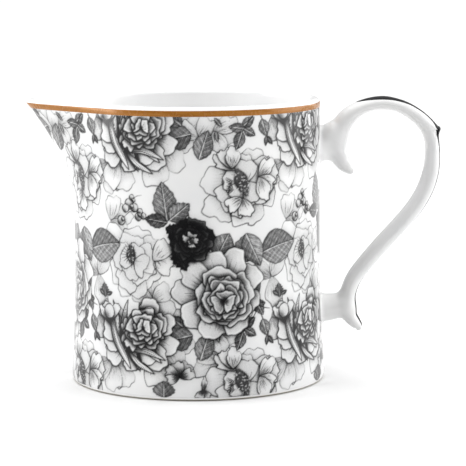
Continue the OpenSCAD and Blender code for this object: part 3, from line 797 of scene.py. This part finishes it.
def joint_solid(z0, half):
    def fn(x, y, z, plane=None):
        fillet = blend(handle_field(x, y, z, plane), cup_field(x, y, z), 1.7) + 0.03
        near = np.hypot(y / (W + 3.4), (z - z0) / (half + 2.6)) - 1
        return np.maximum(np.maximum(fillet, -(cup_field(x, y, z) + 0.3)), np.maximum(cup_field(x, y, z) - 2.2, near * 5))
    return fn


def painted_line(name, stations, n_along=160, n_over=20, thick=0.05):
    """A painted line along the handle's outer edge. Stations are (x, z, how far down from the edge it reaches, in mm)."""
    st = spline([[a, b, c, 0] for a, b, c in stations], max(2, n_along // (len(stations) - 1)))
    depth = np.maximum(st[:, 2], 0.01)
    # bring the line's middle onto the surface, then even it out
    on = settle(np.stack([st[:, 0], np.zeros(len(st)), st[:, 1]], -1), handle_field, 0.0, 8)
    even = np.ones(7) / 7
    xy = np.stack([np.convolve(np.pad(on[:, k], 3, mode="reflect", reflect_type="odd"), even, "valid") for k in (0, 2)], -1)
    tangent = np.gradient(xy, axis=0)
    tangent /= np.linalg.norm(tangent, axis=1)[:, None]
    normal = np.stack([-tangent[:, 1], tangent[:, 0]], -1)
    v = np.linspace(-1, 1, n_over + 1)
    grid = []
    for k in v:
        e = depth * k * k
        x, z = xy[:, 0] - normal[:, 0] * e, xy[:, 1] - normal[:, 1] * e
        plane = handle_plane(x, z)
        lo, hi = np.zeros(len(st)), np.full(len(st), 6.0)
        for _ in range(26):
            y = (lo + hi) / 2
            out = handle_field(x, y, z, plane) > 0
            lo, hi = np.where(out, lo, y), np.where(out, y, hi)
        grid.append(np.stack([x, math.copysign(1.0, k) * (lo + hi) / 2 * (k != 0), z], -1))
    grid = np.swapaxes(np.array(grid), 0, 1)
    grid = np.array(grid)
    m, n = grid.shape[:2]
    flat = grid.reshape(-1, 3)
    base = settle(flat, handle_field, 0.0, 8)
    h = 0.02
    g = np.stack([(handle_field(base[:, 0] + (i == 0) * h, base[:, 1] + (i == 1) * h, base[:, 2] + (i == 2) * h) - handle_field(base[:, 0], base[:, 1], base[:, 2])) / h for i in range(3)], 1)
    g /= np.linalg.norm(g, axis=1)[:, None]
    u = np.linspace(0, 1, m)
    edge = np.minimum(1, (1 - np.abs(v[None, :]) ** 6) * 1.0) * np.minimum(1, np.sin(np.pi * np.clip(u, 0, 1))[:, None] * 12)
    outer = base + g * (0.012 + thick * edge.reshape(-1))[:, None]
    inner = base - g * 0.05
    idx = np.arange(m * n).reshape(m, n)
    jdx = idx + m * n
    f = []
    f += np.stack([idx[:-1, :-1], idx[:-1, 1:], idx[1:, 1:], idx[1:, :-1]], -1).reshape(-1, 4).tolist()
    f += np.stack([jdx[:-1, :-1], jdx[1:, :-1], jdx[1:, 1:], jdx[:-1, 1:]], -1).reshape(-1, 4).tolist()
    loop = np.concatenate([idx[0, :-1], idx[:-1, -1], idx[-1, :0:-1], idx[:0:-1, 0]])
    low = loop + m * n
    nx, nl = np.roll(loop, -1), np.roll(low, -1)
    f += np.stack([loop, low, nl, nx], -1).tolist()
    o = add_mesh(name, np.concatenate([outer, inner]), f)
    import bmesh
    bm = bmesh.new()
    bm.from_mesh(o.data)
    bmesh.ops.recalc_face_normals(bm, faces=bm.faces)
    bm.to_mesh(o.data)
    bm.free()
    o.data.polygons.foreach_set("use_smooth", [True] * len(o.data.polygons))
    return o

# ======================================================================================
# Finishes
# ======================================================================================
def link(tree, a, b):
    tree.links.new(a, b)


def new_material(name):
    m = bpy.data.materials.new(name)
    m.use_nodes = True
    t = m.node_tree
    p = t.nodes["Principled BSDF"]
    return m, t, p


def node(t, kind, **inputs):
    n = t.nodes.new(kind)
    for k, v in inputs.items():
        if k in n.inputs:
            n.inputs[k].default_value = v
        else:
            setattr(n, k, v)
    return n


def noise(t, scale, detail=3.0, rough=0.5, coord=None):
    n = node(t, "ShaderNodeTexNoise", Scale=scale, Detail=detail, Roughness=rough)
    link(t, coord, n.inputs["Vector"])
    return n.outputs["Fac"]


def remap(t, value, a, b, c, d):
    n = t.nodes.new("ShaderNodeMapRange")
    n.inputs["From Min"].default_value, n.inputs["From Max"].default_value = a, b
    n.inputs["To Min"].default_value, n.inputs["To Max"].default_value = c, d
    link(t, value, n.inputs["Value"])
    return n.outputs["Result"]


def mixed(t, fac, a, b, how="MIX"):
    n = t.nodes.new("ShaderNodeMix")
    n.data_type = "RGBA"
    n.blend_type = how
    for sock, v in ((n.inputs[0], fac), (n.inputs[6], a), (n.inputs[7], b)):
        if isinstance(v, (int, float)):
            sock.default_value = v
        elif isinstance(v, tuple):
            sock.default_value = (*v, 1.0)
        else:
            link(t, v, sock)
    return n.outputs[2]


def attribute(t, name):
    n = t.nodes.new("ShaderNodeAttribute")
    n.attribute_name = name
    return n.outputs["Fac"]


def maths(t, op, a, b=None):
    n = t.nodes.new("ShaderNodeMath")
    n.operation = op
    for sock, v in zip(n.inputs, (a, b)):
        if v is None:
            continue
        if isinstance(v, (int, float)):
            sock.default_value = v
        else:
            link(t, v, sock)
    return n.outputs[0]


def glaze(t, p, rough=0.075, ripple=0.035, white=0.90):
    """Clear glaze over white porcelain: slow changes of tint, pin specks, a faint ripple in the gloss."""
    co = t.nodes.new("ShaderNodeTexCoord").outputs["Object"]
    tint = mixed(t, remap(t, noise(t, 55, 3, 0.5, co), 0.35, 0.65, 0, 1), (white, white, white * 0.995), (white * 0.955, white * 0.958, white * 0.963))
    speck = remap(t, noise(t, 900, 2, 0.6, co), 0.70, 0.78, 0.0, 0.12)
    tint = mixed(t, speck, tint, (0.60, 0.585, 0.56))
    link(t, remap(t, noise(t, 160, 2, 0.5, co), 0.3, 0.7, rough - 0.02, rough + 0.035), p.inputs["Roughness"])
    bump = node(t, "ShaderNodeBump", Strength=ripple, Distance=0.001)
    height = maths(t, "ADD", noise(t, 70, 2, 0.5, co), maths(t, "MULTIPLY", noise(t, 420, 2, 0.5, co), 0.12))
    link(t, height, bump.inputs["Height"])
    link(t, bump.outputs["Normal"], p.inputs["Normal"])
    p.inputs["IOR"].default_value = 1.5
    p.inputs["Specular IOR Level"].default_value = 0.55
    return co, tint


def porcelain_material(name, white, near_cup_white=None):
    """Glazed porcelain. white is its base colour, which on the handle is set darker than the body's as painted shade;
    near a joint the attribute read here lifts it towards the lighter joint colour, so there is less painted shade
    there. The sheen stands for light carried round thin, translucent edges.
    """
    m, t, p = new_material(name)
    co, tint = glaze(t, p, white=white)
    if near_cup_white:
        lift = attribute(t, "shade_lift_near_cup")
        tint = mixed(t, lift, tint, (near_cup_white, near_cup_white, near_cup_white * 0.995))
    link(t, tint, p.inputs["Base Color"])
    p.inputs["Sheen Weight"].default_value = 0.45
    p.inputs["Sheen Roughness"].default_value = 0.40
    return m


def body_material():
    """Glazed everywhere but the foot ring's bare ground edge."""
    m, t, p = new_material("glazed_porcelain")
    co, tint = glaze(t, p, white=0.94)
    bare = attribute(t, "bare")
    grain = mixed(t, remap(t, noise(t, 2600, 3, 0.7, co), 0.3, 0.7, 0, 1), (0.26, 0.235, 0.17), (0.42, 0.39, 0.31))
    link(t, mixed(t, bare, tint, grain), p.inputs["Base Color"])
    old = p.inputs["Roughness"].links[0].from_socket
    link(t, maths(t, "ADD", old, maths(t, "MULTIPLY", bare, 0.6)), p.inputs["Roughness"])
    return m


def print_material():
    """The transfer print: grey-black ceramic ink in and under the glaze."""
    m, t, p = new_material("transfer_print")
    # the sheet's bare ground is set to 0.78, darker than the body's 0.94 glaze: painted shade that holds the print's
    # whites down
    co, tint = glaze(t, p, rough=0.085, ripple=0.03, white=0.78)
    ink = attribute(t, "ink")
    grain = remap(t, noise(t, 3400, 2, 0.7, co), 0.35, 0.65, -0.10, 0.10)
    mid = maths(t, "MULTIPLY", maths(t, "MULTIPLY", ink, maths(t, "SUBTRACT", 1.0, ink)), 4.0)
    grained = maths(t, "ADD", ink, maths(t, "MULTIPLY", mid, grain))
    cloudy = remap(t, noise(t, 120, 3, 0.5, co), 0.3, 0.7, 0.0, 0.007)
    bare = node(t, "ShaderNodeClamp")
    link(t, maths(t, "ADD", grained, cloudy), bare.inputs["Value"])
    link(t, mixed(t, bare.outputs[0], (0.004, 0.004, 0.0045), tint), p.inputs["Base Color"])
    p.inputs["Specular IOR Level"].default_value = 0.30
    return m


def lustre_material():
    """A brushed ochre rim line with thin and thick places."""
    m, t, p = new_material("rim_lustre")
    co = t.nodes.new("ShaderNodeTexCoord").outputs["Object"]
    mapping = node(t, "ShaderNodeMapping")
    mapping.inputs["Scale"].default_value = (1, 1, 6)
    link(t, co, mapping.inputs["Vector"])
    a = noise(t, 130, 4, 0.6, mapping.outputs[0])
    b = noise(t, 900, 2, 0.6, co)
    col = mixed(t, remap(t, a, 0.35, 0.65, 0, 1), (0.30, 0.110, 0.010), (0.40, 0.165, 0.026))
    col = mixed(t, remap(t, b, 0.3, 0.7, 0, 0.22), col, (0.20, 0.070, 0.006))
    link(t, col, p.inputs["Base Color"])
    link(t, remap(t, b, 0.3, 0.7, 0.17, 0.32), p.inputs["Roughness"])
    p.inputs["Metallic"].default_value = 0.12
    p.inputs["Specular IOR Level"].default_value = 0.4
    bump = node(t, "ShaderNodeBump", Strength=0.06, Distance=0.0004)
    link(t, a, bump.inputs["Height"])
    link(t, bump.outputs["Normal"], p.inputs["Normal"])
    return m


def enamel_material():
    """Black enamel laid on with a brush. Its colour follows the load attribute and a noise, but load is 1 all over, so
    it comes out an even near-black.
    """
    m, t, p = new_material("black_enamel")
    co = t.nodes.new("ShaderNodeTexCoord").outputs["Object"]
    a = noise(t, 260, 4, 0.6, co)
    load = attribute(t, "load")
    deep = maths(t, "MULTIPLY", load, remap(t, a, 0.3, 0.7, 0.75, 1.15))
    col = mixed(t, remap(t, deep, 0.0, 0.55, 0, 1), (0.16, 0.16, 0.16), (0.013, 0.013, 0.014))
    link(t, col, p.inputs["Base Color"])
    link(t, remap(t, a, 0.3, 0.7, 0.24, 0.40), p.inputs["Roughness"])
    p.inputs["Specular IOR Level"].default_value = 0.03
    bump = node(t, "ShaderNodeBump", Strength=0.08, Distance=0.0004)
    link(t, noise(t, 700, 3, 0.6, co), bump.inputs["Height"])
    link(t, bump.outputs["Normal"], p.inputs["Normal"])
    return m


def floor_material():
    """Matt white paper. To glossy rays only, the floor in front of the jug is dark, 0.09: a painted dark reflection in
    the glaze, standing in for a dark room beyond the table's edge.
    """
    m, t, p = new_material("studio_floor")
    co = t.nodes.new("ShaderNodeTexCoord").outputs["Object"]
    sep = t.nodes.new("ShaderNodeSeparateXYZ")
    link(t, co, sep.inputs[0])
    ahead = remap(t, sep.outputs["Y"], -0.16, -0.07, 1.0, 0.0)
    across = maths(t, "ABSOLUTE", sep.outputs["X"])
    level = remap(t, across, 0.16, 0.42, 1.0, 0.0)
    seen = maths(t, "MULTIPLY", t.nodes.new("ShaderNodeLightPath").outputs["Is Glossy Ray"], maths(t, "MULTIPLY", ahead, level))
    paper = mixed(t, noise(t, 30, 2, 0.5, co), (0.785, 0.785, 0.785), (0.795, 0.795, 0.795))
    link(t, mixed(t, seen, paper, (0.09, 0.09, 0.09)), p.inputs["Base Color"])
    p.inputs["Roughness"].default_value = 0.9
    p.inputs["Specular IOR Level"].default_value = 0.1
    return m

# ======================================================================================
# Pieces
# ======================================================================================
draw_print()
# open up the middle greys, deepen the blacks, then to linear
tone = np.clip(tone, 0.015, 1.0)
tone = tone * (1 + 0.165 * np.exp(-((tone - 0.69) / 0.15) ** 2)) * (0.84 + 0.16 * ease(tone, 0.05, 0.34))
tone = (np.clip(tone, 0.01, 1.0) ** 2.2).astype(np.float32)

# the handle's base colour 0.69, against 0.94 on the body, is painted shade on its core; near the cup it is lifted to
# 0.84, as on the joint slips
m_body, m_handle, m_slip = body_material(), porcelain_material("glazed_handle", 0.69, 0.84), porcelain_material("joint_glaze", 0.84)
m_print, m_rim, m_black = print_material(), lustre_material(), enamel_material()


def place(o, material, slot, *nodes):
    o.data.materials.clear()
    o.data.materials.append(material)
    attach(o, "root")
    if nodes:
        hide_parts(*nodes)
    return o


body = lathe("jug_body", body_rows(), 1.8, 5.6)
co = np.zeros(len(body.data.vertices) * 3)
body.data.vertices.foreach_get("co", co)
co = co.reshape(-1, 3) / MM
rad = np.hypot(co[:, 0], co[:, 1])
float_attribute(body, "bare", (1 - ease(co[:, 2], 0.30, 0.55)) * (rad > 35))
place(body, m_body, "glazed_porcelain_body", "body")

# the print: near and far sheets, four panels each
theta = np.concatenate([np.linspace(0.12, 30.0, 113)[:-1], np.linspace(30.0, 179.88, 464 + 1)])
theta = theta[:1 + (len(theta) - 1) // 16 * 16]
theta[-1] = 179.88
height_rows = np.linspace(1.0, 84.27, 377)
for side, which, nodes_ in ((1, "near", "transfer_sheet_near"), (-1, "far", "transfer_sheet_far")):
    for k in range(4):
        o = printed_panel(f"print_{which}_{k + 1}", side, k / 4, (k + 1) / 4, theta, height_rows)
        place(o, m_print, "floral_transfer", nodes_)

rim_rows = [(84.3, 0.10), (84.28, 0.0), (84.34, -0.07), (84.55, -0.10), (85.2, -0.11), (85.75, -0.09), (85.96, -0.02), (86.02, 0.06), (85.9, 0.16), (85.0, 0.15)]
rim = lathe("rim_band", rim_rows)
place(rim, m_rim, "rim_lustre", "rim_line")

handle = field_mesh("handle_scroll", handle_solid, (36.5, -5.6, 13.3), (76.6, 5.6, 88.3), 0.28)
co = np.zeros(len(handle.data.vertices) * 3)
handle.data.vertices.foreach_get("co", co)
co = co.reshape(-1, 3) / MM
# 1 within 0.5 mm of the wall, 0 from 6.5 mm out: where the handle's painted shade is lifted to the joint's lighter
# colour
float_attribute(handle, "shade_lift_near_cup", 1 - ease(cup_field(co[:, 0], co[:, 1], co[:, 2]), 0.5, 6.5))
place(handle, m_handle, "glazed_porcelain_handle", "handle")
upper = field_mesh("upper_slip", joint_solid(71.7, 5.0), (35.0, -8.4, 63.0), (41.8, 8.4, 80.6), 0.2)
place(upper, m_slip, "joint_slip", "upper_handle_joint")
lower = field_mesh("lower_slip", joint_solid(21.3, 4.3), (35.0, -8.4, 13.6), (42.2, 8.4, 29.0), 0.2)
place(lower, m_slip, "joint_slip", "lower_handle_joint")

crest = painted_line("crest_stroke_paint", [(49.4, 84.9, 0.01), (52, 86.2, 0.40), (55, 87.0, 0.72), (58, 87.2, 0.82), (61.5, 86.6, 0.62), (65, 85.3, 0.42), (68.4, 83.3, 0.31), (71.2, 81.2, 0.28), (73.2, 79.4, 0.42), (74.3, 78.3, 0.78), (74.95, 77.7, 1.25), (75.25, 77.35, 1.65)])
place(crest, m_black, "black_enamel", "crest_stroke")
spur = painted_line("spur_line_paint", [(74.9, 77.75, 1.45), (75.35, 77.0, 1.7), (75.2, 76.2, 1.45), (75.0, 75.5, 1.1), (74.85, 74.6, 0.75), (74.85, 72.9, 0.52), (75.0, 70.8, 0.42), (75.1, 68.6, 0.34), (75.0, 65, 0.33), (74.5, 61.5, 0.33), (73.4, 58, 0.32), (71.6, 54.6, 0.30), (69.0, 50.6, 0.18), (66.6, 47.6, 0.01)])
place(spur, m_black, "black_enamel", "spur_line")
scroll = painted_line("scroll_line_paint", [(53.6, 33.0, 0.01), (51.2, 29.6, 0.20), (49.6, 25.4, 0.38), (49.3, 22.0, 0.42), (49.5, 19.7, 0.42), (50.2, 17.9, 0.38), (50.9, 16.4, 0.30), (51.2, 15.5, 0.12)])
place(scroll, m_black, "black_enamel", "scroll_line")
for o in (crest, spur, scroll):
    float_attribute(o, "load", np.ones(len(o.data.vertices)))

# ======================================================================================
# Studio
# ======================================================================================
n = 96
ring = [[math.cos(2 * math.pi * i / n), math.sin(2 * math.pi * i / n)] for i in range(n)]
pts = [[0, 0, -0.02]] + [[r * x, r * y, -0.02] for r in (300, 7000) for x, y in ring]
faces = [[0, 1 + i, 1 + (i + 1) % n] for i in range(n)] + [[1 + i, 1 + n + i, 1 + n + (i + 1) % n, 1 + (i + 1) % n] for i in range(n)]
floor = add_mesh("studio_floor", pts, faces, smooth=False)
floor.data.materials.append(floor_material())

scene = bpy.context.scene
scene.view_settings.view_transform = "Standard"
scene.view_settings.look = "None"
world = bpy.data.worlds.new("studio")
scene.world = world
world.use_nodes = True
wt = world.node_tree
bg = wt.nodes["Background"]
wc = wt.nodes.new("ShaderNodeTexCoord").outputs["Generated"]
sep = wt.nodes.new("ShaderNodeSeparateXYZ")
wt.links.new(wc, sep.inputs[0])
# dimmer towards the front, bright overhead, white behind; the glaze sees a darker front still
up = remap(wt, sep.outputs["Z"], 0.05, 0.75, 0.0, 1.0)
front = remap(wt, sep.outputs["Y"], -0.75, 0.15, 1.0, 0.0)
rear = remap(wt, sep.outputs["Y"], 0.35, 0.95, 0.0, 0.5)
dim = maths(wt, "MULTIPLY", maths(wt, "ADD", front, rear), maths(wt, "SUBTRACT", 1.0, up))
soft = maths(wt, "SUBTRACT", maths(wt, "ADD", 0.82, maths(wt, "MULTIPLY", up, 0.28)), maths(wt, "MULTIPLY", dim, 0.66))
seen = maths(wt, "SUBTRACT", 0.95, maths(wt, "MULTIPLY", dim, 0.90))
path = wt.nodes.new("ShaderNodeLightPath")
grey = wt.nodes.new("ShaderNodeMix")
grey.data_type = "FLOAT"
wt.links.new(path.outputs["Is Glossy Ray"], grey.inputs[0])
wt.links.new(soft, grey.inputs[2])
wt.links.new(seen, grey.inputs[3])
tone_ = wt.nodes.new("ShaderNodeCombineColor")
for s in ("Red", "Green", "Blue"):
    wt.links.new(grey.outputs[0], tone_.inputs[s])
wt.links.new(mixed(wt, path.outputs["Is Camera Ray"], tone_.outputs[0], (1.0, 1.0, 1.0)), bg.inputs["Color"])


def softbox(name, place_, target, size, power):
    li = bpy.data.lights.new(name, "AREA")
    li.shape = "RECTANGLE"
    li.size, li.size_y = size
    li.energy = power
    ob = bpy.data.objects.new(name, li)
    ob.location = place_
    from mathutils import Vector
    d = Vector(target) - Vector(place_)
    ob.rotation_euler = d.to_track_quat("-Z", "Y").to_euler()
    ob.visible_camera = False
    scene.collection.objects.link(ob)
    return ob


softbox("left_box", (-0.62, -0.02, 0.22), (0, 0, 0.045), (0.26, 0.42), 1.75)
softbox("right_box", (0.66, 0.20, 0.30), (0, 0, 0.045), (1.05, 0.70), 4.3)
sun = bpy.data.lights.new("top_sun", "SUN")
sun.energy = 1.35
sun.angle = math.radians(70)
so = bpy.data.objects.new("top_sun", sun)
so.rotation_euler = (math.radians(-12), math.radians(-8), 0)
scene.collection.objects.link(so)

# ======================================================================================
# Camera
# ======================================================================================
cam = bpy.data.cameras.new("camera")
cam.sensor_width = 36.0
cam.lens = 2208.627 / 466 * 36.0
cam.dof.use_dof = False
co_ = bpy.data.objects.new("camera", cam)
from mathutils import Matrix
co_.matrix_world = Matrix.Translation((0.011058, -0.680, 0.137969)) @ Matrix.Rotation(math.pi / 2 - 0.136010, 4, "X") @ Matrix.Rotation(-0.0056421, 4, "Z")
scene.collection.objects.link(co_)
scene.camera = co_
